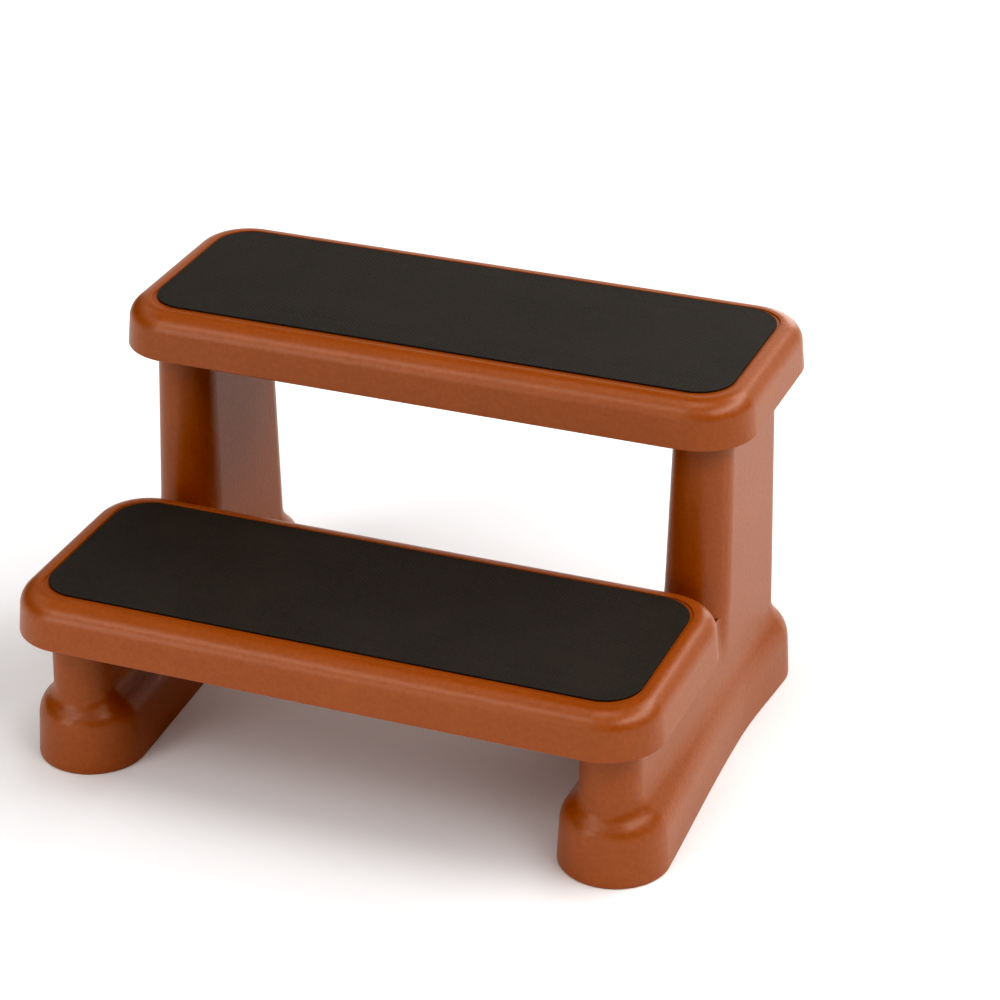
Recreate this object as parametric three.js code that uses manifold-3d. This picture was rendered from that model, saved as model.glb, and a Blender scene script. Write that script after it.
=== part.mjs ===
// Two-tread spa steps: two hollow side frames carry two identical ribbed treads, each with an
// inset non-skid pad. Millimetres, +Z up, front towards -Y, origin on the floor under the middle.
import * as THREE from 'three';
import { mergeVertices } from 'three/addons/utils/BufferGeometryUtils.js';
import Module from 'manifold-3d';

// Overall sizes
const UPPER_TOP = 393.7;         // walking surface of the upper tread, 15 1/2 in
const LOWER_TOP = 198.4;         // walking surface of the lower tread
const STEP_RUN = 255;            // front-to-back distance between the tread centres
const GAP = 0.3;                 // clearance kept where two pieces meet

// Treads
const TREAD_WIDTH = 660.4;       // 26 in
const TREAD_DEPTH = 261;
const TREAD_CORNER = 58;
const TREAD_HEIGHT = 47.8;       // walking surface to the foot of the skirt
const EDGE_ROUND = 20;           // fillet between the rim and the skirt
const SKIRT_DRAFT = 2.3;         // how far the skirt leans out from fillet to foot
const TREAD_WALL = 4.5;
const DECK_WALL = 5.3;
const RIM_DROP = 0.8;            // the pad stands this much proud of the rim
const RECESS_DEPTH = 1.2;
const RECESS_CORNER = 36;
const RIB_THICKNESS = 3;
const RIB_DEPTH = 14;
const COLLAR_DEPTH = 30;         // the collars grip the side frames' tenons
const RIB_X = [-150, 0, 150];
const RIB_Y = [-42, 42];

// Non-skid pads
const PAD_WIDTH = 606.4;
const PAD_DEPTH = 202.6;
const PAD_CORNER = 37;
const PAD_GAP_X = 2.5;           // bare floor of the recess at the pad's sides
const PAD_GAP_Y = 5.2;           // and at its front and rear, if it lay in the middle
const PAD_SHIFT = 2;             // how far behind the middle it lies
const PAD_BEVEL = 0.6;

// Side frames
const FRAME_X = 275.2;           // middle plane of a side frame
const FRAME_WALL = 5;
const SKID_LENGTH = 482.6;       // 19 in
const SKID_FRONT_RADIUS = 54.8;
const SKID_REAR_RADIUS = 55;
const SKID_WAIST_RADIUS = 46.8;
const SKID_WAIST_Y = 65;
const SKID_FRONT_Y = -181.2;     // centre of the round front foot
const SKID_DRAFT = 0.055;        // inward lean of the skid wall per unit of height
const SHOULDER_LOW = 40;         // the skid's flanks start to round over
const SHOULDER_HIGH = 86;        // the skid has become the upright panel
const LEDGE_LOW = 45;            // the same two heights at its front, where it is a ledge
const LEDGE_HIGH = 74;
const SHOULDER_LAG = 1.25;       // above 1, the round edge is larger than the round corner
const SHOULDER_SWEEP = 0.4;      // sine of the angle that the edge and the corner turn through
const LEDGE_SWEEP = 0.85;
const NECK_RADIUS = 31.4;        // half thickness of the front of the panel
const NECK_Y = -190;             // centre of the panel's round front
const COLUMN_RADIUS = 31;        // half thickness of the column at COLUMN_MID
const COLUMN_MID = 300;
const COLUMN_DRAFT = 0.02;       // half thickness gained per unit of height going down
const COLUMN_FRONT_Y = 63.4;     // centre of the column's round front at COLUMN_MID
const COLUMN_LEAN = 0.033;       // forward shift of that centre per unit of height going down
const COLUMN_REAR_Y = 187.8;
const FLARE_REACH = 20;          // the column's front spreads this far forward at its foot,
const FLARE_HEIGHT = 24;         // in a concave sweep of this height above the panel
const TENON_HALF_SPAN = 61;      // the frame's tops are round-ended bars that enter the treads
const TENON_RADIUS = 26;
const TENON_ROOT = 20;           // how deep a tenon is rooted in the body below it
const DRAIN_RADIUS = 4;
const DRAIN_Y = [-150, 150];

// Tread fixings
const SCREW_PITCH = 55;          // each screw stands this far from the tread's centre line
const SCREW_RADIUS = 2.5;
const SCREW_HOLE = 2.9;
const SCREW_LENGTH = 36;
const SCREW_TIP = 5;
const HEAD_RADIUS = 5.5;
const HEAD_HEIGHT = 2.8;
const WASHER_RADIUS = 9;
const WASHER_HEIGHT = 1.2;
const COUNTERBORE_RADIUS = 10.5;
const COUNTERBORE_DEPTH = 5.8;
const BOSS_RADIUS = 8;
const BOSS_LENGTH = 34;

// Levels of a tread, measured down from its walking surface
const RIM = -RIM_DROP;
const RECESS_FLOOR = RIM - RECESS_DEPTH;
const DECK_UNDERSIDE = RECESS_FLOOR - DECK_WALL;
const SOCKET_CEILING = RECESS_FLOOR - COUNTERBORE_DEPTH - TREAD_WALL;
const SOCKET_FOOT = DECK_UNDERSIDE - COLLAR_DEPTH;
const FRAME_TOP = SOCKET_CEILING - GAP;
const PANEL_TOP = LOWER_TOP - TREAD_HEIGHT - GAP;

const PLASTIC = { color: 0x9c4f2c, roughness: 0.55, metalness: 0 };
const RUBBER = { color: 0x24211d, roughness: 0.85, metalness: 0 };
const STEEL = { color: 0xb4b6b8, roughness: 0.35, metalness: 1 };

const wasm = await Module();
wasm.setup();

// Joining and cutting

function solid(geometry) {
  const bare = geometry.clone();
  bare.deleteAttribute('normal');
  bare.deleteAttribute('uv');
  const merged = mergeVertices(bare, 1e-4);
  const vertProperties = Float32Array.from(merged.attributes.position.array);
  const triVerts = Uint32Array.from(merged.index.array);
  return new wasm.Manifold(new wasm.Mesh({ numProp: 3, vertProperties, triVerts }));
}

function geometryOf(manifold) {
  const mesh = manifold.getMesh();
  const geometry = new THREE.BufferGeometry();
  geometry.setAttribute('position', new THREE.BufferAttribute(mesh.vertProperties, 3));
  geometry.setIndex(new THREE.BufferAttribute(mesh.triVerts, 1));
  geometry.computeVertexNormals();
  return geometry;
}

// Plain solids

function box(x0, x1, y0, y1, z0, z1) {
  const geometry = new THREE.BoxGeometry(x1 - x0, y1 - y0, z1 - z0);
  return solid(geometry.translate((x0 + x1) / 2, (y0 + y1) / 2, (z0 + z1) / 2));
}

function rod(radius, x, y, z0, z1, sides = 16) {
  const geometry = new THREE.CylinderGeometry(radius, radius, z1 - z0, sides);
  return solid(geometry.rotateX(Math.PI / 2).translate(x, y, (z0 + z1) / 2));
}

function arc(x, y, radius, start, sweep, steps) {
  const points = [];
  for (let i = 0; i <= steps; i += 1) {
    const angle = start + (sweep * i) / steps;
    points.push(new THREE.Vector2(x + radius * Math.cos(angle), y + radius * Math.sin(angle)));
  }
  return points;
}

function roundedRectangle(width, depth, corner, steps = 5) {
  const x = width / 2 - corner;
  const y = depth / 2 - corner;
  const quarter = Math.PI / 2;
  return [
    ...arc(x, -y, corner, -quarter, quarter, steps),
    ...arc(x, y, corner, 0, quarter, steps),
    ...arc(-x, y, corner, quarter, quarter, steps),
    ...arc(-x, -y, corner, 2 * quarter, quarter, steps),
  ];
}

// A solid skinned over outlines that all have the same number of points, lowest one first
function loft(rings) {
  const count = rings[0].outline.length;
  const position = [];
  const index = [];
  for (const { outline, z } of rings) {
    for (const point of outline) position.push(point.x, point.y, z);
  }
  for (let level = 0; level + 1 < rings.length; level += 1) {
    for (let i = 0; i < count; i += 1) {
      const a = level * count + i;
      const b = level * count + ((i + 1) % count);
      index.push(a, b, b + count, a, b + count, a + count);
    }
  }
  const last = (rings.length - 1) * count;
  for (const [a, b, c] of THREE.ShapeUtils.triangulateShape(rings[0].outline, [])) {
    index.push(a, c, b);
  }
  for (const [a, b, c] of THREE.ShapeUtils.triangulateShape(rings.at(-1).outline, [])) {
    index.push(last + a, last + b, last + c);
  }
  const geometry = new THREE.BufferGeometry();
  geometry.setAttribute('position', new THREE.Float32BufferAttribute(position, 3));
  geometry.setIndex(index);
  return geometry;
}

// Side frame

// Round-ended outline: a front arc, a rear arc, and sides that run through a waist
function frameOutline(shape, inset = 0, endSteps = 8, sideSteps = 6) {
  const { frontY, frontR, waistY, waistR, rearY, rearR } = shape;
  const halfWidth = (y) => {
    const end = y < waistY ? frontY : rearY;
    const endR = y < waistY ? frontR : rearR;
    const u = (y - waistY) / (end - waistY);
    return waistR + (endR - waistR) * u * u * (2 - u) - inset;
  };
  const side = [];
  for (let i = 1; i < sideSteps; i += 1) {
    const y = THREE.MathUtils.lerp(frontY, rearY, i / sideSteps);
    side.push(new THREE.Vector2(halfWidth(y), y));
  }
  const mirrored = side.map((point) => new THREE.Vector2(-point.x, point.y)).reverse();
  return [
    ...arc(0, frontY, frontR - inset, -Math.PI, Math.PI, endSteps),
    ...side,
    ...arc(0, rearY, rearR - inset, 0, Math.PI, endSteps),
    ...mirrored,
  ];
}

function columnRadius(z) {
  return COLUMN_RADIUS + (COLUMN_MID - z) * COLUMN_DRAFT;
}

// The skid on the floor: a round foot at each end and a shallow waist between them
function skidShape(z) {
  const lean = z * SKID_DRAFT;
  return {
    frontY: SKID_FRONT_Y,
    frontR: SKID_FRONT_RADIUS - lean,
    waistY: SKID_WAIST_Y,
    waistR: SKID_WAIST_RADIUS - lean,
    rearY: SKID_FRONT_Y - SKID_FRONT_RADIUS + SKID_LENGTH - SKID_REAR_RADIUS,
    rearR: SKID_REAR_RADIUS - lean,
  };
}

// The upright panel between the skid and the lower tread
function panelShape(z) {
  return {
    frontY: NECK_Y,
    frontR: NECK_RADIUS + (SHOULDER_HIGH - z) * COLUMN_DRAFT,
    waistY: COLUMN_FRONT_Y,
    waistR: columnRadius(z),
    rearY: COLUMN_REAR_Y,
    rearR: columnRadius(z),
  };
}

// The rear column, whose front sweeps forward to meet the top of the panel
function columnShape(z) {
  const t = THREE.MathUtils.clamp((PANEL_TOP + FLARE_HEIGHT - z) / FLARE_HEIGHT, 0, 1);
  const flare = FLARE_REACH * t * t;
  const frontY = COLUMN_FRONT_Y - (COLUMN_MID - z) * COLUMN_LEAN - flare;
  const radius = columnRadius(z);
  return {
    frontY,
    frontR: radius,
    waistY: (frontY + COLUMN_REAR_Y) / 2,
    waistR: radius,
    rearY: COLUMN_REAR_Y,
    rearR: radius,
  };
}

// The skid rounds over into the panel: 0 is all skid, 1 is all panel. The way is a round edge
// and then a round corner; facing is 0 where the outline faces the front and 1 on its flanks.
function shoulderBlend(z, facing) {
  const between = (front, flank) => THREE.MathUtils.lerp(front, flank, facing);
  const low = between(LEDGE_LOW, SHOULDER_LOW);
  const high = between(LEDGE_HIGH, SHOULDER_HIGH);
  const sweep = between(LEDGE_SWEEP, SHOULDER_SWEEP);
  const rise = THREE.MathUtils.clamp((z - low) / (high - low), 0, 1) ** SHOULDER_LAG;
  const drop = (sine) => 1 - Math.sqrt(1 - sine * sine);
  const reach = drop(sweep * (1 - Math.abs(2 * rise - 1))) / drop(sweep);
  return rise < 0.5 ? reach / 2 : 1 - reach / 2;
}

function lowerOutline(z, inset) {
  const skid = skidShape(z);
  const ahead = frameOutline(skid, inset);
  const above = frameOutline(panelShape(z), inset);
  return ahead.map((point, i) => {
    const across = point.x / (skid.frontR - inset);
    const facing = point.y < skid.frontY ? across * across : 1;
    return point.lerp(above[i], shoulderBlend(z, facing));
  });
}

function tenon(centreY, z0, z1, grow = 0) {
  const radius = TENON_RADIUS + grow;
  const outline = [
    ...arc(0, centreY - TENON_HALF_SPAN, radius, -Math.PI, Math.PI, 8),
    ...arc(0, centreY + TENON_HALF_SPAN, radius, 0, Math.PI, 8),
  ];
  return solid(loft([{ outline, z: z0 }, { outline, z: z1 }]));
}

// The frame as a full body, shrunk by the inset on every side
function frameBody(inset, shoulderLevels, flareLevels) {
  const lowerLevels = [inset, ...shoulderLevels, PANEL_TOP - inset];
  const lower = lowerLevels.map((z) => ({ outline: lowerOutline(z, inset), z }));
  const sunk = PANEL_TOP - FLARE_HEIGHT;
  const socket = UPPER_TOP + SOCKET_FOOT - GAP - inset;
  const column = [{ outline: frameOutline(columnShape(PANEL_TOP), inset + 1), z: sunk }];
  for (const z of [...flareLevels, socket]) {
    column.push({ outline: frameOutline(columnShape(z), inset), z });
  }
  return solid(loft(lower))
    .add(solid(loft(column)))
    .add(tenon(STEP_RUN / 2, socket - TENON_ROOT, UPPER_TOP + FRAME_TOP - inset, -inset))
    .add(tenon(-STEP_RUN / 2, PANEL_TOP - TENON_ROOT, LOWER_TOP + FRAME_TOP - inset, -inset));
}

function sideFrame() {
  const flare = [0, 0.1, 0.3, 0.6, 1].map((part) => PANEL_TOP + part * FLARE_HEIGHT);
  const levels = [SHOULDER_LOW, 46, 52, 57, 62, 67, 73, 79, SHOULDER_HIGH];
  const body = frameBody(0, levels, flare);
  const cavity = frameBody(FRAME_WALL, levels.filter((_, i) => i % 2 === 0), flare);
  let frame = body.subtract(cavity);
  for (const [centreY, top] of [[-STEP_RUN / 2, LOWER_TOP], [STEP_RUN / 2, UPPER_TOP]]) {
    for (const side of [-1, 1]) {
      const y = centreY + side * SCREW_PITCH;
      const z = top + FRAME_TOP;
      frame = frame.add(rod(BOSS_RADIUS, 0, y, z - BOSS_LENGTH, z - 1));
      frame = frame.subtract(rod(SCREW_HOLE, 0, y, z - BOSS_LENGTH - 1, z + 1, 12));
    }
  }
  for (const y of DRAIN_Y) frame = frame.subtract(rod(DRAIN_RADIUS, 0, y, -1, FRAME_WALL + 1, 12));
  return geometryOf(frame);
}

// Tread

function treadRing(inset, z, cornerFloor = 0) {
  const corner = Math.max(TREAD_CORNER - inset, cornerFloor);
  const outline = roundedRectangle(TREAD_WIDTH - 2 * inset, TREAD_DEPTH - 2 * inset, corner);
  return { outline, z };
}

// The tread before it is hollowed from below, with the recess for its pad
function treadBlank() {
  const rings = [treadRing(0, -TREAD_HEIGHT)];
  for (const degrees of [0, 22.5, 45, 67.5, 90]) {
    const angle = THREE.MathUtils.degToRad(degrees);
    const inset = SKIRT_DRAFT + EDGE_ROUND * (1 - Math.cos(angle));
    rings.push(treadRing(inset, RIM - EDGE_ROUND * (1 - Math.sin(angle)), RECESS_CORNER));
  }
  const width = PAD_WIDTH + 2 * PAD_GAP_X;
  const outline = roundedRectangle(width, PAD_DEPTH + 2 * PAD_GAP_Y, RECESS_CORNER);
  const recess = loft([{ outline, z: RECESS_FLOOR }, { outline, z: 1 }]);
  return solid(loft(rings)).subtract(solid(recess));
}

// The space under the deck, less the ribs and the two collars that grip the frames' tenons
function treadHollow() {
  const skirtInside = TREAD_WALL + SKIRT_DRAFT;
  const ribFoot = DECK_UNDERSIDE - RIB_DEPTH;
  const halfRib = RIB_THICKNESS / 2;
  const halfWidth = TREAD_WIDTH / 2;
  const halfDepth = TREAD_DEPTH / 2;
  let hollow = solid(loft([
    treadRing(TREAD_WALL, -TREAD_HEIGHT - 1),
    treadRing(skirtInside, RIM - EDGE_ROUND),
    treadRing(skirtInside + EDGE_ROUND / 2, DECK_UNDERSIDE),
  ]));
  for (const x of RIB_X) {
    hollow = hollow.subtract(box(x - halfRib, x + halfRib, -halfDepth, halfDepth, ribFoot, 0));
  }
  for (const y of RIB_Y) {
    hollow = hollow.subtract(box(-halfWidth, halfWidth, y - halfRib, y + halfRib, ribFoot, 0));
  }
  for (const x of [-FRAME_X, FRAME_X]) {
    const collar = tenon(0, SOCKET_FOOT, 0, GAP + TREAD_WALL).translate([x, 0, 0]);
    const socket = tenon(0, SOCKET_FOOT - 1, SOCKET_CEILING, GAP).translate([x, 0, 0]);
    hollow = hollow.subtract(collar).add(socket);
  }
  return hollow;
}

function tread() {
  let body = treadBlank().subtract(treadHollow());
  for (const x of [-FRAME_X, FRAME_X]) {
    for (const y of [-SCREW_PITCH, SCREW_PITCH]) {
      body = body.subtract(rod(COUNTERBORE_RADIUS, x, y, RECESS_FLOOR - COUNTERBORE_DEPTH, 1));
      body = body.subtract(rod(SCREW_HOLE, x, y, SOCKET_CEILING - 1, 1, 12));
    }
  }
  return geometryOf(body);
}

function pad() {
  const ring = (inset, z) => {
    const corner = PAD_CORNER - inset;
    return { outline: roundedRectangle(PAD_WIDTH - 2 * inset, PAD_DEPTH - 2 * inset, corner), z };
  };
  return loft([ring(0, RECESS_FLOOR + GAP), ring(0, -PAD_BEVEL), ring(PAD_BEVEL, 0)]);
}

// Fixings

function turned(profile, sides) {
  const points = profile.map(([radius, z]) => new THREE.Vector2(radius, z));
  return new THREE.LatheGeometry(points, sides).rotateX(Math.PI / 2);
}

function screw() {
  const underHead = RECESS_FLOOR - COUNTERBORE_DEPTH + 2 * GAP + WASHER_HEIGHT;
  const tip = underHead - SCREW_LENGTH;
  const head = underHead + HEAD_HEIGHT;
  return turned([
    [0, tip], [SCREW_RADIUS, tip + SCREW_TIP], [SCREW_RADIUS, underHead], [HEAD_RADIUS, underHead],
    [HEAD_RADIUS, head - 1], [HEAD_RADIUS - 1, head], [0, head],
  ], 12);
}

function washer() {
  const z = RECESS_FLOOR - COUNTERBORE_DEPTH + GAP;
  const hole = SCREW_HOLE;
  return turned([
    [hole, z], [WASHER_RADIUS, z], [WASHER_RADIUS, z + WASHER_HEIGHT], [hole, z + WASHER_HEIGHT],
    [hole, z],
  ], 12);
}

// Assembly

function piece(name, geometry, look, x, y, z) {
  const mesh = new THREE.Mesh(geometry, new THREE.MeshStandardMaterial(look));
  mesh.name = name;
  mesh.position.set(x, y, z);
  return mesh;
}

const steps = new THREE.Group();
for (const [side, x] of [['left', -FRAME_X], ['right', FRAME_X]]) {
  steps.add(piece(`side_frame_${side}`, sideFrame(), PLASTIC, x, 0, 0));
}
for (const [level, y, z] of [['lower', -STEP_RUN / 2, LOWER_TOP], ['upper', STEP_RUN / 2, UPPER_TOP]]) {
  steps.add(piece(`tread_${level}`, tread(), PLASTIC, 0, y, z));
  steps.add(piece(`tread_pad_${level}`, pad(), RUBBER, 0, y + PAD_SHIFT, z));
  for (const [side, x] of [['left', -FRAME_X], ['right', FRAME_X]]) {
    for (const [place, dy] of [['front', -SCREW_PITCH], ['rear', SCREW_PITCH]]) {
      steps.add(piece(`screw_${level}_${side}_${place}`, screw(), STEEL, x, y + dy, z));
      steps.add(piece(`washer_${level}_${side}_${place}`, washer(), STEEL, x, y + dy, z));
    }
  }
}

export default steps;
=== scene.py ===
"""Spa steps: two moulded treads with non-skid pads on two side frames, in a plain pale studio.

Everything is in metres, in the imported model's frame: X is the width, the front faces -Y, the
floor is Z = 0.
"""
import math

import bmesh
import bpy
import numpy as np
from mathutils import Matrix, Vector


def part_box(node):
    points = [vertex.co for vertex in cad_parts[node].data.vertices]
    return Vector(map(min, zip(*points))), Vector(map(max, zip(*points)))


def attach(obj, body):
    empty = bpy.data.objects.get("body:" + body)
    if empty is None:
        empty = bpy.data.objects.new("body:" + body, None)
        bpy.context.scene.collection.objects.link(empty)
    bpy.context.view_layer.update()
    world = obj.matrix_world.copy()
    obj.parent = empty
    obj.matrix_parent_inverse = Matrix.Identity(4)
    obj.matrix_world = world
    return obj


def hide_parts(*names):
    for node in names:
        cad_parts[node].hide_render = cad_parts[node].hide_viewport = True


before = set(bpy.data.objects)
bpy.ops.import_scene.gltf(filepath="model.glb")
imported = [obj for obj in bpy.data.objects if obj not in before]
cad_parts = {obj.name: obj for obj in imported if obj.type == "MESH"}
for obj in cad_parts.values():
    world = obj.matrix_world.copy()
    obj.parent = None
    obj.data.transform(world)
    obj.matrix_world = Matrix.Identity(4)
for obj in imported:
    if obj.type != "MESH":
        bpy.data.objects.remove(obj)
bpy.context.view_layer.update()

MM = 0.001
TURN = 2 * math.pi
SHARP = math.radians(32)         # edges that turn by more than this are drawn sharp

# Tread
EDGE_ROUND = 20 * MM             # fillet between the rim and the skirt
SKIRT_DRAFT = 2.3 * MM           # how far the skirt leans out from fillet to foot
TREAD_CORNER = 58 * MM
TREAD_WALL = 4.5 * MM
DECK_WALL = 5.3 * MM
FOOT_ROUND = 1.2 * MM            # rounding of the skirt's foot
RECESS_DEPTH = 1.2 * MM
RECESS_CORNER = 36 * MM
LIP_ROUND = 0.5 * MM             # rounding of the recess's upper edge
PAD_GAP_X = 2.5 * MM             # bare floor of the recess at the pad's sides
PAD_GAP_Y = 5.2 * MM             # and at its front and rear, if it lay in the middle
COLLAR_DEPTH = 30 * MM
RIB_DEPTH = 14 * MM
RIB_THICKNESS = 3 * MM
RIB_X = (-150 * MM, 0, 150 * MM)
RIB_Y = (-42 * MM, 42 * MM)
SCREW_PITCH = 55 * MM
COUNTERBORE_RADIUS = 10.5 * MM
COUNTERBORE_DEPTH = 5.8 * MM
SCREW_HOLE = 2.9 * MM

# Pad
PAD_CORNER = 37 * MM
STUD_PITCH = 5.08 * MM           # repeat of the diamond studs along X and along Y
STUD_HEIGHT = 0.22 * MM
STUD_TOP = 0.5                   # width of a stud's flat top as a share of its foot
PAD_EDGE_ROUND = 0.5 * MM

# Side frame
SKID_DRAFT = 0.055               # inward lean of the skid wall per unit of height
SKID_FRONT_RADIUS = 54.8 * MM
SKID_REAR_RADIUS = 55 * MM
SKID_WAIST_RADIUS = 46.8 * MM
SKID_WAIST_Y = 65 * MM
SKID_FOOT_ROUND = 2.5 * MM
SHOULDER_LOW = 40 * MM           # the skid's flanks start to round over
SHOULDER_HIGH = 86 * MM          # the skid has become the upright panel
SHOULDER_FRONT_LOW = 45 * MM     # the same two heights at its front, where it is a ledge
SHOULDER_FRONT_HIGH = 74 * MM
SHOULDER_LAG = 1.25              # above 1, the round edge is larger than the round corner
SHOULDER_SWEEP = 0.4             # sine of the angle that the edge and the corner turn through
SHOULDER_FRONT_SWEEP = 0.85
NECK_RADIUS = 31.4 * MM          # half thickness of the front of the panel
NECK_Y = -190 * MM
PANEL_EDGE_ROUND = 1.2 * MM
COLUMN_RADIUS = 31 * MM          # half thickness of the column at COLUMN_MID
COLUMN_MID = 300 * MM
COLUMN_DRAFT = 0.02
COLUMN_FRONT_Y = 63.4 * MM       # centre of the column's round front at COLUMN_MID
COLUMN_LEAN = 0.033
COLUMN_REAR_Y = 187.8 * MM
FLARE_REACH = 4 * MM             # the column's front spreads this far forward at its foot
FLARE_HEIGHT = 24 * MM
HOLLOW = 7 * MM                  # the panel's top narrows by this much ahead of the column's foot
HOLLOW_REACH = 90 * MM
HOLLOW_LOW = 100 * MM            # the height at which it starts to narrow
HOLLOW_ROUND = 20 * MM           # this far ahead it follows the column's round front
TENON_HALF_SPAN = 61 * MM
TENON_RADIUS = 26 * MM
TENON_ROUND = 1 * MM
SCREW_DEPTH = 34 * MM
GAP = 0.3 * MM
DRAIN_RADIUS = 4 * MM
DRAIN_DEPTH = 8 * MM
DRAIN_Y = (-150 * MM, 150 * MM)

# Screws
SCREW_RADIUS = 2.5 * MM
SCREW_TIP = 5 * MM
SCREW_SIDES = 32
HEAD_HEIGHT = 2.8 * MM
THREAD_PITCH = 1.8 * MM
THREAD_CORE = 0.72               # radius of the core as a share of the thread's

# Colours, linear
PLASTIC_DARK = (0.330, 0.0915, 0.0155, 1)
PLASTIC_LIGHT = (0.352, 0.0995, 0.0185, 1)
PLASTIC_FLECK = (0.235, 0.058, 0.0095, 1)
RUBBER_DARK = (0.0215, 0.016, 0.011, 1)
RUBBER_LIGHT = (0.029, 0.022, 0.0155, 1)
RUBBER_DUST = (0.040, 0.033, 0.025, 1)

# Places that the frame gives
FRAME_LOW, FRAME_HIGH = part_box("side_frame_right")
TREAD_LOW, TREAD_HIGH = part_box("tread_upper")
LOWER_LOW, LOWER_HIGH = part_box("tread_lower")
PAD_LOW, PAD_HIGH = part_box("tread_pad_upper")
TREAD_HALF_WIDTH = TREAD_HIGH.x
TREAD_HALF_DEPTH = (TREAD_HIGH.y - TREAD_LOW.y) / 2
UPPER_CENTRE = (TREAD_LOW.y + TREAD_HIGH.y) / 2
LOWER_CENTRE = (LOWER_LOW.y + LOWER_HIGH.y) / 2
PAD_HALF_WIDTH = PAD_HIGH.x
PAD_HALF_DEPTH = (PAD_HIGH.y - PAD_LOW.y) / 2
PAD_SHIFT = (PAD_LOW.y + PAD_HIGH.y) / 2 - UPPER_CENTRE
PANEL_TOP = LOWER_LOW.z - GAP
SKID_FRONT_Y = FRAME_LOW.y + SKID_FRONT_RADIUS
SKID_REAR_Y = FRAME_HIGH.y - SKID_REAR_RADIUS
TREAD_HEIGHT = TREAD_HIGH.z - TREAD_LOW.z          # rim to foot
RIM_DROP = PAD_HIGH.z - TREAD_HIGH.z               # how far the pad stands above the rim
UPPER_TENON_TOP = FRAME_HIGH.z
LOWER_TENON_TOP = FRAME_HIGH.z - (TREAD_HIGH.z - LOWER_HIGH.z)
DECK = RECESS_DEPTH + DECK_WALL                    # rim to the deck's underside
SOCKET_FOOT = DECK + COLLAR_DEPTH                  # rim to the collars' foot
SOCKET_CEILING = TREAD_HIGH.z - UPPER_TENON_TOP - GAP
COLUMN_TOP = TREAD_HIGH.z - SOCKET_FOOT - GAP
PAD_THICKNESS = PAD_HIGH.z - PAD_LOW.z
FRAME_X = (-(FRAME_LOW.x + FRAME_HIGH.x) / 2, (FRAME_LOW.x + FRAME_HIGH.x) / 2)


# ---------------------------------------------------------------- mesh tools

def arc(x, y, radius, start, sweep, steps):
    """Points of an arc from its start up to, but without, its end."""
    angle = start + sweep * np.arange(steps) / steps
    return np.column_stack([x + radius * np.cos(angle), y + radius * np.sin(angle)])


def mirrored(right):
    """Closes a right-hand half outline, front centre first and rear centre last."""
    left = right[-2:0:-1] * [-1, 1]
    return np.vstack([right, left])


def rounded_rectangle(half_width, half_depth, corner, corner_steps=18, side_steps=6):
    """Half outlines run from the middle of the front to the middle of the rear, by +X."""
    x, y = half_width - corner, half_depth - corner
    front = np.column_stack([np.linspace(0, x, side_steps, False), np.full(side_steps, -half_depth)])
    side = np.column_stack([np.full(side_steps, half_width), np.linspace(-y, y, side_steps, False)])
    rear = np.column_stack([np.linspace(x, 0, side_steps + 1), np.full(side_steps + 1, half_depth)])
    return mirrored(np.vstack([
        front,
        arc(x, -y, corner, -TURN / 4, TURN / 4, corner_steps),
        side,
        arc(x, y, corner, 0, TURN / 4, corner_steps),
        rear,
    ]))


def cap(start, count):
    """Faces across a mirrored outline, seen from above."""
    at = lambda i: start + i % count
    half = count // 2
    faces = [(at(0), at(1), at(-1))]
    faces += [(at(i), at(i + 1), at(-i - 1), at(-i)) for i in range(1, half - 1)]
    faces.append((at(half - 1), at(half), at(half + 1)))
    return faces


def loft(rings):
    """Vertices and faces of a closed skin over (outline, z) rings, the first one facing down."""
    count = len(rings[0][0])
    vertices = np.vstack([np.column_stack([outline, np.full(count, z)]) for outline, z in rings])
    faces = [face[::-1] for face in cap(0, count)]
    for level in range(len(rings) - 1):
        low, high = level * count, (level + 1) * count
        for i in range(count):
            j = (i + 1) % count
            faces.append((low + i, low + j, high + j, high + i))
    faces += cap((len(rings) - 1) * count, count)
    return vertices, faces


def joined(*parts):
    """Several vertex and face lists as one."""
    vertices, faces, start = [], [], 0
    for part_vertices, part_faces in parts:
        vertices.append(part_vertices)
        faces += [tuple(i + start for i in face) for face in part_faces]
        start += len(part_vertices)
    return np.vstack(vertices), faces


def moved(part, offset):
    vertices, faces = part
    return vertices + np.array(offset), faces


def rounding(low, radius, steps, inward):
    """Insets and heights of a quarter round: inward at its foot, or at its head."""
    for angle in np.linspace(0, TURN / 4, steps + 1):
        if inward:
            yield radius * (1 - math.sin(angle)), low + radius * (1 - math.cos(angle))
        else:
            yield radius * (1 - math.cos(angle)), low + radius * math.sin(angle)


def prism(outline_at, low, high, low_round=0.0, high_round=0.0, steps=5):
    """A straight solid over the outline that outline_at(inset) gives, with rounded ends."""
    rings = []
    if low_round:
        rings += [(outline_at(inset), z) for inset, z in rounding(low, low_round, steps, True)]
    else:
        rings.append((outline_at(0), low))
    if high_round:
        start = high - high_round
        rings += [(outline_at(inset), z) for inset, z in rounding(start, high_round, steps, False)]
    else:
        rings.append((outline_at(0), high))
    return loft(rings)


def bore(x, y, low, high, radius, steps=32):
    """A round bar along Z."""
    half = np.vstack([arc(0, 0, radius, -TURN / 4, TURN / 2, steps // 2), [[0, radius]]])
    return loft([(mirrored(half) + [x, y], low), (mirrored(half) + [x, y], high)])


def mesh_object(name, part):
    vertices, faces = part
    mesh = bpy.data.meshes.new(name)
    mesh.from_pydata([tuple(v) for v in vertices], [], faces)
    mesh.validate()
    piece = bpy.data.objects.new(name, mesh)
    bpy.context.scene.collection.objects.link(piece)
    return piece


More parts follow.
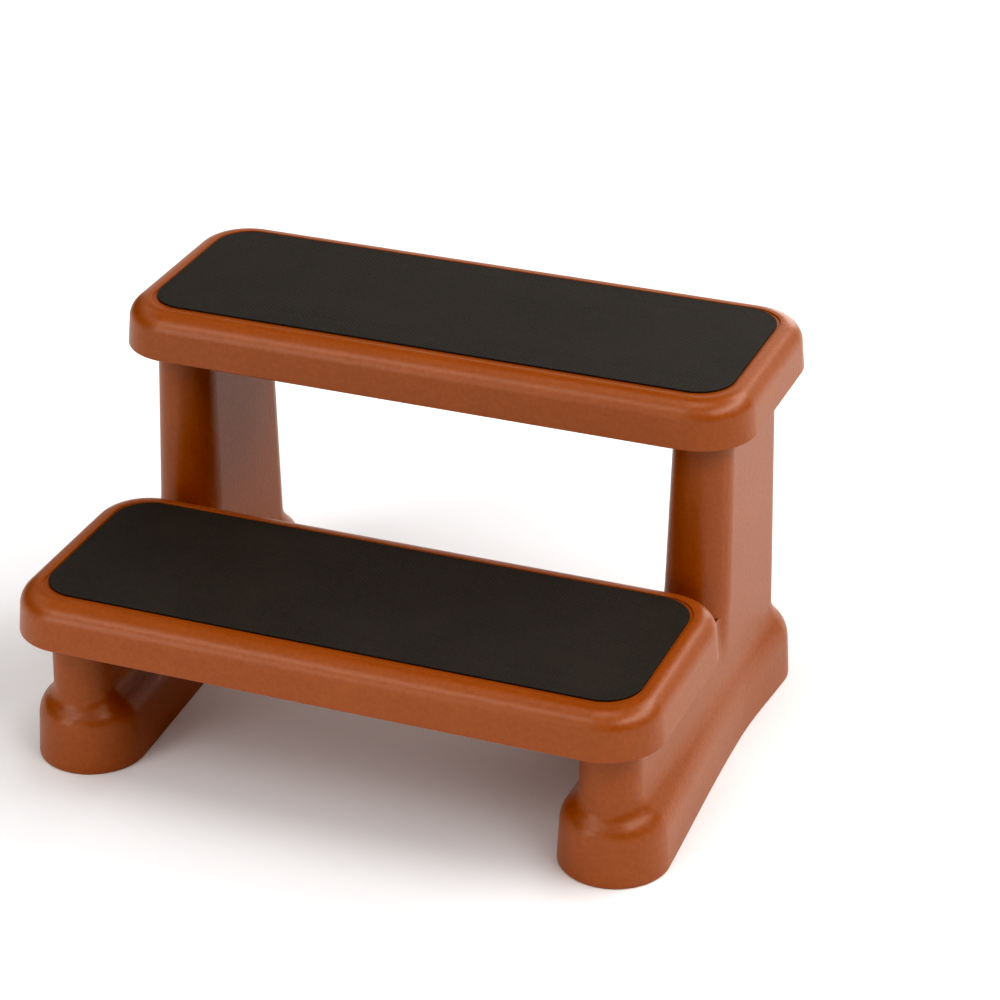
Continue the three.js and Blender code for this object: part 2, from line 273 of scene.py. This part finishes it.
def apply_modifiers(piece):
    graph = bpy.context.evaluated_depsgraph_get()
    mesh = bpy.data.meshes.new_from_object(piece.evaluated_get(graph))
    piece.modifiers.clear()
    piece.data = mesh


def weld(piece):
    """Merges points that lie on one another, and drops the faces that this leaves empty."""
    grid = bmesh.new()
    grid.from_mesh(piece.data)
    bmesh.ops.remove_doubles(grid, verts=grid.verts, dist=1e-6)
    bmesh.ops.dissolve_degenerate(grid, edges=grid.edges, dist=1e-6)
    grid.to_mesh(piece.data)
    grid.free()


def combine(piece, part, operation):
    """Joins a closed part to a piece, or cuts it out or keeps only what they share."""
    tool = mesh_object("tool", part)
    modifier = piece.modifiers.new("boolean", "BOOLEAN")
    modifier.operation = operation
    modifier.solver = "MANIFOLD"
    modifier.object = tool
    apply_modifiers(piece)
    bpy.data.objects.remove(tool)


def part_of(piece):
    """A piece's vertices and faces, and the piece is gone."""
    vertices = np.array([v.co for v in piece.data.vertices], float)
    faces = [tuple(face.vertices) for face in piece.data.polygons]
    bpy.data.objects.remove(piece)
    return vertices, faces


def shade(piece):
    """Smooth faces with sharp edges where they turn hard, and normals that favour broad faces."""
    mesh = piece.data
    mesh.polygons.foreach_set("use_smooth", np.ones(len(mesh.polygons), bool))
    mesh.set_sharp_from_angle(angle=SHARP)
    modifier = piece.modifiers.new("normals", "WEIGHTED_NORMAL")
    modifier.keep_sharp = True
    modifier.weight = 75
    apply_modifiers(piece)


def finish_piece(piece, material, slot, *nodes):
    piece.data.name = piece.name
    piece.data.materials.clear()
    piece.data.materials.append(material)
    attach(piece, "root")
    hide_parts(*nodes)


# ---------------------------------------------------------------- side frames

NOSE_STEPS, FORE_STEPS, AFT_STEPS, TAIL_STEPS = 26, 30, 20, 26


def fore_points(front_y):
    """Y of the points between a round front and the column's foot, closer together near it."""
    join = column_front(PANEL_TOP)
    return join - (join - front_y) * np.linspace(1, 0, FORE_STEPS, False) ** 2


def stadium(front_y, rear_y, radius):
    """Round-ended outline, whose front has its points where the panel's hollow has them."""
    ahead = column_front(PANEL_TOP) - fore_points(NECK_Y)
    matched = np.arccos(ahead[ahead < HOLLOW_ROUND] / radius)
    free = NOSE_STEPS + FORE_STEPS - len(matched)
    angle = np.concatenate([np.linspace(0, matched[0], free, False), matched])
    side = np.linspace(front_y, rear_y, AFT_STEPS, False)
    return mirrored(np.vstack([
        np.column_stack([radius * np.sin(angle), front_y - radius * np.cos(angle)]),
        np.column_stack([np.full(AFT_STEPS, radius), side]),
        arc(0, rear_y, radius, 0, TURN / 4, TAIL_STEPS),
        [[0, rear_y + radius]],
    ]))


def tenon_outline(centre_y, grow=0.0):
    """The round-ended bars on the frames' tops, which enter the treads."""
    front, rear = centre_y - TENON_HALF_SPAN, centre_y + TENON_HALF_SPAN
    return lambda inset: stadium(front, rear, TENON_RADIUS + grow - inset)


def column_radius(z):
    return COLUMN_RADIUS + (COLUMN_MID - z) * COLUMN_DRAFT


def column_front(z):
    """Y of the centre of the column's round front, which sweeps forward at its foot."""
    return COLUMN_FRONT_Y - (COLUMN_MID - z) * COLUMN_LEAN - FLARE_REACH * flare(z)


def flare(z):
    rise = min(max((z - PANEL_TOP) / FLARE_HEIGHT, 0), 1)
    return (1 - rise) ** 2


def column_outline(z):
    return stadium(column_front(z), COLUMN_REAR_Y, column_radius(z))


def hollow(y, z):
    """How much the panel narrows ahead of the column, whose round front it follows there."""
    radius = column_radius(z)
    ahead = column_front(PANEL_TOP) - y
    round_front = radius - np.sqrt(radius ** 2 - np.clip(ahead, 0, radius) ** 2)
    fade = np.clip(1 - ahead / HOLLOW_REACH, 0, 1)
    rise = min(max((z - HOLLOW_LOW) / (PANEL_TOP - HOLLOW_LOW), 0), 1)
    rise = rise * rise * (3 - 2 * rise)
    return rise * np.minimum(0.98 * round_front, HOLLOW * fade ** 2 * (3 - 2 * fade))


def waisted(front, waist, rear, inset, aft_inset, narrowing=lambda y: 0):
    """Outline that narrows between a round front and a round rear, each a (y, half width)."""
    (front_y, front_r), (waist_y, waist_r), (rear_y, rear_r) = front, waist, rear
    join = column_front(PANEL_TOP)
    y = np.concatenate([
        fore_points(front_y),
        np.linspace(join, rear_y, AFT_STEPS, False),
    ])
    ahead = y < waist_y
    u = (y - waist_y) / (np.where(ahead, front_y, rear_y) - waist_y)
    half = waist_r + (np.where(ahead, front_r, rear_r) - waist_r) * u * u * (2 - u)
    half -= narrowing(y)
    half -= np.where(y < join - HOLLOW_ROUND, inset, aft_inset)
    return mirrored(np.vstack([
        arc(0, front_y, front_r - inset, -TURN / 4, TURN / 4, NOSE_STEPS),
        np.column_stack([half, y]),
        arc(0, rear_y, rear_r - aft_inset, 0, TURN / 4, TAIL_STEPS),
        [[0, rear_y + rear_r - aft_inset]],
    ]))


def sideways():
    """For each point of an outline, 0 where it faces the front and 1 from the flanks on."""
    nose = np.sin(np.linspace(0, TURN / 4, NOSE_STEPS, False)) ** 2
    rest = np.ones(FORE_STEPS + AFT_STEPS + TAIL_STEPS + 1)
    half = np.concatenate([nose, rest])
    return np.concatenate([half, half[-2:0:-1]])[:, None]


def shoulder(z):
    """How far each point of the outline has gone from the skid, 0, to the panel, 1.

    The way is a round edge and then a round corner, sharper at the front than on the flanks.
    """
    side = sideways()
    low = SHOULDER_FRONT_LOW + (SHOULDER_LOW - SHOULDER_FRONT_LOW) * side
    high = SHOULDER_FRONT_HIGH + (SHOULDER_HIGH - SHOULDER_FRONT_HIGH) * side
    rise = np.clip((z - low) / (high - low), 0, 1) ** SHOULDER_LAG
    edge = SHOULDER_FRONT_SWEEP + (SHOULDER_SWEEP - SHOULDER_FRONT_SWEEP) * side
    reach = 1 - np.sqrt(1 - (edge * (1 - np.abs(2 * rise - 1))) ** 2)
    reach /= 1 - np.sqrt(1 - edge ** 2)
    return np.where(rise < 0.5, reach / 2, 1 - reach / 2)


def lower_outline(z, inset=0.0, aft_inset=None):
    """The inset can differ behind the column's front, where the wall runs on upwards."""
    aft_inset = inset if aft_inset is None else aft_inset
    lean = z * SKID_DRAFT
    neck = NECK_RADIUS + (SHOULDER_HIGH - z) * COLUMN_DRAFT
    skid = waisted(
        (SKID_FRONT_Y, SKID_FRONT_RADIUS - lean),
        (SKID_WAIST_Y, SKID_WAIST_RADIUS - lean),
        (SKID_REAR_Y, SKID_REAR_RADIUS - lean),
        inset, aft_inset)
    panel = waisted(
        (NECK_Y, neck),
        (COLUMN_FRONT_Y, column_radius(z)),
        (COLUMN_REAR_Y, column_radius(z)),
        inset, aft_inset, lambda y: hollow(y, z))
    blend = shoulder(z)
    return (1 - blend) * skid + blend * panel


def frame_rings():
    """From the floor up: skid, shoulder, panel, column and the upper tread's tenon."""
    rings = [(lower_outline(z, inset), z) for inset, z in rounding(0, SKID_FOOT_ROUND, 6, True)]
    edge = PANEL_TOP - PANEL_EDGE_ROUND
    levels = np.concatenate([
        np.linspace(SKID_FOOT_ROUND, SHOULDER_LOW, 8)[1:-1],
        np.linspace(SHOULDER_LOW, SHOULDER_HIGH, 44),
        np.linspace(SHOULDER_HIGH, edge, 10)[1:-1],
    ])
    rings += [(lower_outline(z), z) for z in levels]
    for inset, z in rounding(edge, PANEL_EDGE_ROUND, 5, False):
        rings.append((lower_outline(z, inset, 0), z))
    flared = PANEL_TOP + FLARE_HEIGHT * (1 - np.cos(np.linspace(0, TURN / 4, 20)))
    levels = np.concatenate([flared, np.linspace(flared[-1], COLUMN_TOP, 16)[1:]])
    rings += [(column_outline(z), z) for z in levels]
    outline_at = tenon_outline(UPPER_CENTRE)
    rings.append((outline_at(0), COLUMN_TOP))
    for inset, z in rounding(UPPER_TENON_TOP - TENON_ROUND, TENON_ROUND, 4, False):
        rings.append((outline_at(inset), z))
    return rings


def side_frame(side, x):
    body = mesh_object(f"side_frame_{side}_shell", loft(frame_rings()))
    weld(body)
    root = PANEL_TOP - 10 * MM
    lower_tenon = prism(tenon_outline(LOWER_CENTRE), root, LOWER_TENON_TOP, 0, TENON_ROUND)
    combine(body, lower_tenon, "UNION")
    holes = [bore(0, y, -MM, DRAIN_DEPTH, DRAIN_RADIUS) for y in DRAIN_Y]
    for centre, top in ((LOWER_CENTRE, LOWER_TENON_TOP), (UPPER_CENTRE, UPPER_TENON_TOP)):
        for y in (centre - SCREW_PITCH, centre + SCREW_PITCH):
            holes.append(bore(0, y, top - SCREW_DEPTH, top + MM, SCREW_HOLE))
    combine(body, joined(*holes), "DIFFERENCE")
    body.data.transform(Matrix.Translation((x, 0, 0)))
    shade(body)
    return body


# ---------------------------------------------------------------- treads

def tread_outline(inset, corner_floor=0.0):
    corner = max(TREAD_CORNER - inset, corner_floor)
    return rounded_rectangle(TREAD_HALF_WIDTH - inset, TREAD_HALF_DEPTH - inset, corner)


def recess_outline(inset):
    half_width = PAD_HALF_WIDTH + PAD_GAP_X - inset
    half_depth = PAD_HALF_DEPTH + PAD_GAP_Y - inset
    return rounded_rectangle(half_width, half_depth, RECESS_CORNER - inset)


def tread_blank():
    """The tread before it is hollowed from below. Its rim is Z = 0 here."""
    rings = [(tread_outline(inset), z)
             for inset, z in rounding(-TREAD_HEIGHT, FOOT_ROUND, 4, True)]
    for inset, z in rounding(-EDGE_ROUND, EDGE_ROUND, 18, False):
        rings.append((tread_outline(SKIRT_DRAFT + inset, RECESS_CORNER), z))
    for angle in np.linspace(0, TURN / 4, 5):
        outset = LIP_ROUND * (1 - math.sin(angle))
        rings.append((recess_outline(-outset), -LIP_ROUND * (1 - math.cos(angle))))
    rings.append((recess_outline(0), -RECESS_DEPTH))
    return rings


def tread_cavity():
    """The space under the deck, before its ribs and collars are taken out of it."""
    foot = -TREAD_HEIGHT
    wide = TREAD_WALL - FOOT_ROUND
    rings = [(tread_outline(wide), foot - MM)]
    for inset, z in rounding(foot, FOOT_ROUND, 4, False):
        rings.append((tread_outline(TREAD_WALL - FOOT_ROUND + inset), z))
    inner = EDGE_ROUND - TREAD_WALL
    last = math.asin((EDGE_ROUND - DECK) / inner)
    for angle in np.linspace(0, last, 10):
        inset = SKIRT_DRAFT + EDGE_ROUND - inner * math.cos(angle)
        rings.append((tread_outline(inset), -EDGE_ROUND + inner * math.sin(angle)))
    return rings


def ribs():
    """Bars under the deck, with rounded feet: first those along Y, then those along X."""
    low = -DECK - RIB_DEPTH
    half_height = -low / 2
    bars = []
    section = rounded_rectangle(RIB_THICKNESS / 2, half_height, RIB_THICKNESS / 3, 5, 1)
    section = section + [0, low / 2]
    for x in RIB_X:
        ends = [(section + [x, 0], -TREAD_HALF_DEPTH), (section + [x, 0], TREAD_HALF_DEPTH)]
        vertices, faces = loft(ends)
        bars.append((vertices[:, [0, 2, 1]] * [1, -1, 1], faces))
    for y in RIB_Y:
        ends = [(section + [y, 0], -TREAD_HALF_WIDTH), (section + [y, 0], TREAD_HALF_WIDTH)]
        vertices, faces = loft(ends)
        bars.append((vertices[:, [2, 0, 1]], faces))
    return bars


def tread_hollow():
    """What is cut out of the tread from below."""
    space = mesh_object("space", loft(tread_cavity()))
    for bar in ribs():
        combine(space, bar, "DIFFERENCE")
    for x in FRAME_X:
        outline_at = tenon_outline(0, GAP + TREAD_WALL)
        collar = prism(outline_at, -SOCKET_FOOT, 0, TENON_ROUND)
        socket = prism(tenon_outline(0, GAP), -SOCKET_FOOT - MM, -SOCKET_CEILING)
        combine(space, moved(collar, (x, 0, 0)), "DIFFERENCE")
        combine(space, moved(socket, (x, 0, 0)), "UNION")
    return part_of(space)


def tread(level, centre_y, rim):
    body = mesh_object(f"tread_{level}_shell", loft(tread_blank()))
    combine(body, tread_hollow(), "DIFFERENCE")
    head = -RECESS_DEPTH - COUNTERBORE_DEPTH
    for x in FRAME_X:
        for y in (-SCREW_PITCH, SCREW_PITCH):
            combine(body, bore(x, y, head, 0, COUNTERBORE_RADIUS), "DIFFERENCE")
            combine(body, bore(x, y, -SOCKET_CEILING - MM, 0, SCREW_HOLE), "DIFFERENCE")
    body.data.transform(Matrix.Translation((0, centre_y, rim)))
    shade(body)
    return body


# ---------------------------------------------------------------- non-skid pads

def stud_sheet(low, high):
    """A slab whose top is a field of flat-topped diamond studs, wider than the pad."""
    cells = math.ceil((PAD_HALF_WIDTH + PAD_HALF_DEPTH) / STUD_PITCH) * 2 + 2
    along = np.array([STUD_PITCH / 2, STUD_PITCH / 2])
    across = np.array([-STUD_PITCH / 2, STUD_PITCH / 2])
    index = np.arange(cells + 1) - cells / 2
    a, b = np.meshgrid(index, index, indexing="ij")
    corners = a[..., None] * along + b[..., None] * across
    groove = high - STUD_HEIGHT
    corners = np.dstack([corners, np.full(a.shape, groove)]).reshape(-1, 3)
    number = np.arange((cells + 1) ** 2).reshape(cells + 1, cells + 1)
    ring = np.stack([number[:-1, :-1], number[1:, :-1], number[1:, 1:], number[:-1, 1:]], -1)
    ring = ring.reshape(-1, 4)
    middles = corners[ring].mean(axis=1, keepdims=True)
    tops = middles + (corners[ring] - middles) * STUD_TOP
    tops[..., 2] = high
    top = len(corners) + np.arange(len(ring) * 4).reshape(-1, 4)
    faces = [tuple(f) for f in top]
    for k in range(4):
        n = (k + 1) % 4
        slopes = np.stack([ring[:, k], ring[:, n], top[:, n], top[:, k]], -1)
        faces += [tuple(f) for f in slopes]
    edge = np.concatenate([number[:-1, 0], number[-1, :-1], number[:0:-1, -1], number[0, :0:-1]])
    bottom = corners[edge] * [1, 1, 0] + [0, 0, low]
    base = len(corners) + tops.size // 3
    count = len(edge)
    for i in range(count):
        j = (i + 1) % count
        faces.append((base + i, base + j, edge[j], edge[i]))
    faces.append(tuple(base + i for i in reversed(range(count))))
    return np.vstack([corners, tops.reshape(-1, 3), bottom]), faces


def pad(level, centre_y, top):
    low = top - PAD_THICKNESS
    outline_at = lambda inset: rounded_rectangle(
        PAD_HALF_WIDTH - inset, PAD_HALF_DEPTH - inset, PAD_CORNER - inset, 24)
    body = mesh_object(f"tread_pad_{level}_mat", prism(outline_at, low, top, 0, PAD_EDGE_ROUND))
    combine(body, stud_sheet(low - MM, top), "INTERSECT")
    weld(body)
    body.data.transform(Matrix.Translation((0, centre_y + PAD_SHIFT, 0)))
    shade(body)
    return body


# ---------------------------------------------------------------- screws and washers

def circle(radius):
    """A closed outline whose radius may change from point to point."""
    angle = TURN * (np.arange(SCREW_SIDES) / SCREW_SIDES - 0.25)
    return np.column_stack([radius * np.cos(angle), radius * np.sin(angle)])


def thread(z, radius):
    """Outline of the threaded shank at a height: a ridge that winds up round a core."""
    phase = (z / THREAD_PITCH - np.arange(SCREW_SIDES) / SCREW_SIDES) % 1
    ridge = np.clip(1 - np.abs(phase - 0.5) / 0.3, 0, 1)
    return circle(radius * (THREAD_CORE + (1 - THREAD_CORE) * ridge))


def screw(node):
    """A pan-head screw in the place of a CAD screw, with a cross recess and a coarse thread.

    The recess's floor and mouth are each a height, a half length and a half width.
    """
    low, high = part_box(node)
    under_head = high.z - HEAD_HEIGHT
    rings = []
    for z in np.arange(low.z, under_head, THREAD_PITCH / 6):
        taper = min(1, 0.08 + 0.92 * (z - low.z) / SCREW_TIP)
        rings.append((thread(z, SCREW_RADIUS * taper), z))
    head_radius = (high.x - low.x) / 2
    rings += [(circle(SCREW_RADIUS * THREAD_CORE), under_head), (circle(head_radius), under_head)]
    for angle in np.linspace(0, TURN / 4, 8):
        radius = head_radius * (1 - 0.45 * (1 - math.cos(angle)))
        rings.append((circle(radius), high.z - HEAD_HEIGHT * 0.6 * (1 - math.sin(angle))))
    body = mesh_object(f"{node}_threaded", loft(rings))
    recess_floor = (high.z - HEAD_HEIGHT * 0.65, 0.9 * MM, 0.35 * MM)
    recess_mouth = (high.z + 0.1 * MM, 2.2 * MM, 0.55 * MM)
    for swap in (False, True):
        rings = []
        for z, half_length, half_width in (recess_floor, recess_mouth):
            size = (half_width, half_length) if swap else (half_length, half_width)
            rings.append((rounded_rectangle(*size, 0.2 * MM, 3, 1), z))
        combine(body, loft(rings), "DIFFERENCE")
    middle = (low + high) / 2
    body.data.transform(Matrix.Translation((middle.x, middle.y, 0)))
    shade(body)
    return body


def washer(node):
    """A stamped washer in the place of a CAD washer, with rolled edges."""
    low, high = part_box(node)
    radius = (high.x - low.x) / 2
    edge = 0.25 * MM
    disc = prism(lambda inset: circle(radius - inset), low.z, high.z, edge, edge)
    body = mesh_object(f"{node}_stamped", disc)
    combine(body, bore(0, 0, low.z - MM, high.z + MM, SCREW_HOLE), "DIFFERENCE")
    middle = (low + high) / 2
    body.data.transform(Matrix.Translation((middle.x, middle.y, 0)))
    shade(body)
    return body


# ---------------------------------------------------------------- materials

def material(name):
    made = bpy.data.materials.new(name)
    made.use_nodes = True
    nodes, links = made.node_tree.nodes, made.node_tree.links
    return made, nodes, links, nodes["Principled BSDF"]


def noise(nodes, links, coordinates, scale, detail=4.0, roughness=0.55):
    texture = nodes.new("ShaderNodeTexNoise")
    texture.inputs["Scale"].default_value = scale
    texture.inputs["Detail"].default_value = detail
    texture.inputs["Roughness"].default_value = roughness
    links.new(coordinates, texture.inputs["Vector"])
    return texture.outputs["Fac"]


def remap(nodes, links, value, from_low, from_high, to_low, to_high):
    node = nodes.new("ShaderNodeMapRange")
    node.inputs["From Min"].default_value = from_low
    node.inputs["From Max"].default_value = from_high
    node.inputs["To Min"].default_value = to_low
    node.inputs["To Max"].default_value = to_high
    links.new(value, node.inputs["Value"])
    return node.outputs["Result"]


def mix(nodes, links, factor, first, second):
    node = nodes.new("ShaderNodeMix")
    node.data_type = "RGBA"
    inputs = node.inputs
    for socket, value in ((inputs[0], factor), (inputs[6], first), (inputs[7], second)):
        if isinstance(value, bpy.types.NodeSocket):
            links.new(value, socket)
        else:
            socket.default_value = value
    return node.outputs[2]


def bump(nodes, links, height, distance, strength, normal=None):
    node = nodes.new("ShaderNodeBump")
    node.inputs["Distance"].default_value = distance
    node.inputs["Strength"].default_value = strength
    links.new(height, node.inputs["Height"])
    if normal is not None:
        links.new(normal, node.inputs["Normal"])
    return node.outputs["Normal"]


def plastic():
    made, nodes, links, shader = material("brown_plastic")
    coordinates = nodes.new("ShaderNodeTexCoord").outputs["Object"]
    broad = noise(nodes, links, coordinates, 9, 3)
    fine = noise(nodes, links, coordinates, 700, 3)
    grain = noise(nodes, links, coordinates, 1500, 2)
    speckle = noise(nodes, links, coordinates, 240, 2)
    tint = remap(nodes, links, broad, 0.35, 0.65, 0, 1)
    plain = mix(nodes, links, tint, PLASTIC_DARK, PLASTIC_LIGHT)
    flecks = remap(nodes, links, speckle, 0.3, 0.7, 0.4, 0)
    colour = mix(nodes, links, flecks, plain, PLASTIC_FLECK)
    links.new(colour, shader.inputs["Base Color"])
    links.new(remap(nodes, links, fine, 0.3, 0.7, 0.30, 0.37), shader.inputs["Roughness"])
    shader.inputs["IOR"].default_value = 1.52
    leather = bump(nodes, links, speckle, 0.00025, 0.8)
    normal = bump(nodes, links, grain, 0.00005, 0.5, leather)
    links.new(normal, shader.inputs["Normal"])
    return made


def rubber():
    made, nodes, links, shader = material("pad_rubber")
    coordinates = nodes.new("ShaderNodeTexCoord").outputs["Object"]
    broad = noise(nodes, links, coordinates, 14, 4)
    grain = noise(nodes, links, coordinates, 1800, 3)
    speckle = noise(nodes, links, coordinates, 380, 2)
    tint = remap(nodes, links, broad, 0.3, 0.7, 0, 1)
    plain = mix(nodes, links, tint, RUBBER_DARK, RUBBER_LIGHT)
    dust = remap(nodes, links, speckle, 0.35, 0.7, 0, 0.5)
    colour = mix(nodes, links, dust, plain, RUBBER_DUST)
    links.new(colour, shader.inputs["Base Color"])
    links.new(remap(nodes, links, grain, 0.3, 0.7, 0.62, 0.78), shader.inputs["Roughness"])
    links.new(bump(nodes, links, grain, 0.00006, 0.6), shader.inputs["Normal"])
    return made


def steel():
    made, nodes, links, shader = material("screw_steel")
    coordinates = nodes.new("ShaderNodeTexCoord").outputs["Object"]
    grain = noise(nodes, links, coordinates, 2500, 3)
    shader.inputs["Base Color"].default_value = (0.56, 0.57, 0.58, 1)
    shader.inputs["Metallic"].default_value = 1
    links.new(remap(nodes, links, grain, 0.3, 0.7, 0.28, 0.42), shader.inputs["Roughness"])
    links.new(bump(nodes, links, grain, 0.00003, 0.4), shader.inputs["Normal"])
    return made


# ---------------------------------------------------------------- assembly

def build_steps():
    brown, black, bright = plastic(), rubber(), steel()
    for side, x in zip(("left", "right"), FRAME_X):
        finish_piece(side_frame(side, x), brown, "brown_plastic", f"side_frame_{side}")
    for level, centre, rim, top in (
        ("lower", LOWER_CENTRE, LOWER_HIGH.z, LOWER_HIGH.z + RIM_DROP),
        ("upper", UPPER_CENTRE, TREAD_HIGH.z, PAD_HIGH.z),
    ):
        finish_piece(tread(level, centre, rim), brown, "brown_plastic", f"tread_{level}")
        finish_piece(pad(level, centre, top), black, "pad_rubber", f"tread_pad_{level}")
    for node in sorted(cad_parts):
        if node.startswith("screw_"):
            finish_piece(screw(node), bright, "screw_steel", node)
        if node.startswith("washer_"):
            finish_piece(washer(node), bright, "screw_steel", node)


# ---------------------------------------------------------------- studio

CAMERA_AZIMUTH = math.radians(21.52)
CAMERA_ELEVATION = math.radians(27.65)
CAMERA_ROLL = math.radians(-0.21)
CAMERA_PLACE = (1.12842, -2.6364, 1.74207)
CAMERA_LENS = 118.47
SENSOR = 36
FLOOR_SIDE = 60


def direction(azimuth, elevation):
    """Towards a place round the steps, from the front towards +X and up, in radians."""
    level = math.cos(elevation)
    return Vector((math.sin(azimuth) * level, -math.cos(azimuth) * level, math.sin(elevation)))


def camera():
    data = bpy.data.cameras.new("camera")
    data.sensor_width = SENSOR
    data.lens = CAMERA_LENS
    made = bpy.data.objects.new("camera", data)
    bpy.context.scene.collection.objects.link(made)
    back = direction(CAMERA_AZIMUTH, CAMERA_ELEVATION)
    level = Vector((math.cos(CAMERA_AZIMUTH), math.sin(CAMERA_AZIMUTH), 0))
    upright = back.cross(level)
    right = level * math.cos(CAMERA_ROLL) + upright * math.sin(CAMERA_ROLL)
    up = back.cross(right)
    turn = Matrix((right, up, back)).transposed()
    made.matrix_world = Matrix.Translation(CAMERA_PLACE) @ turn.to_4x4()
    data.clip_end = 50
    bpy.context.scene.camera = made


def floor():
    grid = bpy.data.meshes.new("floor")
    half = FLOOR_SIDE / 2
    corners = [(-half, -half, 0), (half, -half, 0), (half, half, 0), (-half, half, 0)]
    grid.from_pydata(corners, [], [(0, 1, 2, 3)])
    made = bpy.data.objects.new("floor", grid)
    bpy.context.scene.collection.objects.link(made)
    pale, _, _, shader = material("pale_floor")
    shader.inputs["Base Color"].default_value = (0.95, 0.95, 0.95, 1)
    shader.inputs["Roughness"].default_value = 0.9
    grid.materials.append(pale)


# Groups of square softboxes: their side in metres, the power of each in watts, and where each
# stands, as its azimuth from the front towards +X and its elevation in degrees
SOFTBOXES = {
    "left_key": (3, 115, ((-30, 40), (-30, 10))),
    "right_key": (3, 145, ((60, 40), (90, 40), (120, 40), (150, 40))),
    "overhead": (4, 150, ((0, 88),)),
    "rear": (3, 95, ((180, 10),)),
    "backdrop": (4, 35, ((-172, 22),)),
    "fill": (3, 30, ((0, 40), (30, 40), (-60, 40), (-90, 40), (-120, 40))),
    "low_fill": (3, 30, ((0, 10), (100, 22), (150, 10), (-150, 10))),
    "high_fill": (3, 30, ((-20, 62),)),
}
SOFTBOX_DISTANCE = 7.5
LIGHT_TARGET = Vector((0, 0, 0.2))
CONTRAST = 1.3                   # power of the tone curve
BLACK = 0.02                     # light that the tone curve takes for none
AMBIENT = 0                      # the softboxes give all the light


def softbox(name, side, power, azimuth, elevation):
    data = bpy.data.lights.new(name, "AREA")
    data.shape = "SQUARE"
    data.size, data.energy = side, power
    lamp = bpy.data.objects.new(name, data)
    bpy.context.scene.collection.objects.link(lamp)
    back = direction(math.radians(azimuth), math.radians(elevation))
    lamp.location = LIGHT_TARGET + back * SOFTBOX_DISTANCE
    lamp.rotation_euler = (-back).to_track_quat("-Z", "Y").to_euler()


def lights():
    for group, (side, power, places) in SOFTBOXES.items():
        for number, (azimuth, elevation) in enumerate(places, 1):
            softbox(f"{group}_{number}", side, power, azimuth, elevation)
    world = bpy.data.worlds.new("studio")
    bpy.context.scene.world = world
    world.use_nodes = True
    background = world.node_tree.nodes["Background"]
    background.inputs["Color"].default_value = (1, 1, 1, 1)
    background.inputs["Strength"].default_value = AMBIENT


camera()
build_steps()
floor()
lights()
view = bpy.context.scene.view_settings
view.view_transform = "Standard"
view.gamma = 1 / CONTRAST
view.use_curve_mapping = True
view.curve_mapping.black_level = (BLACK, BLACK, BLACK)
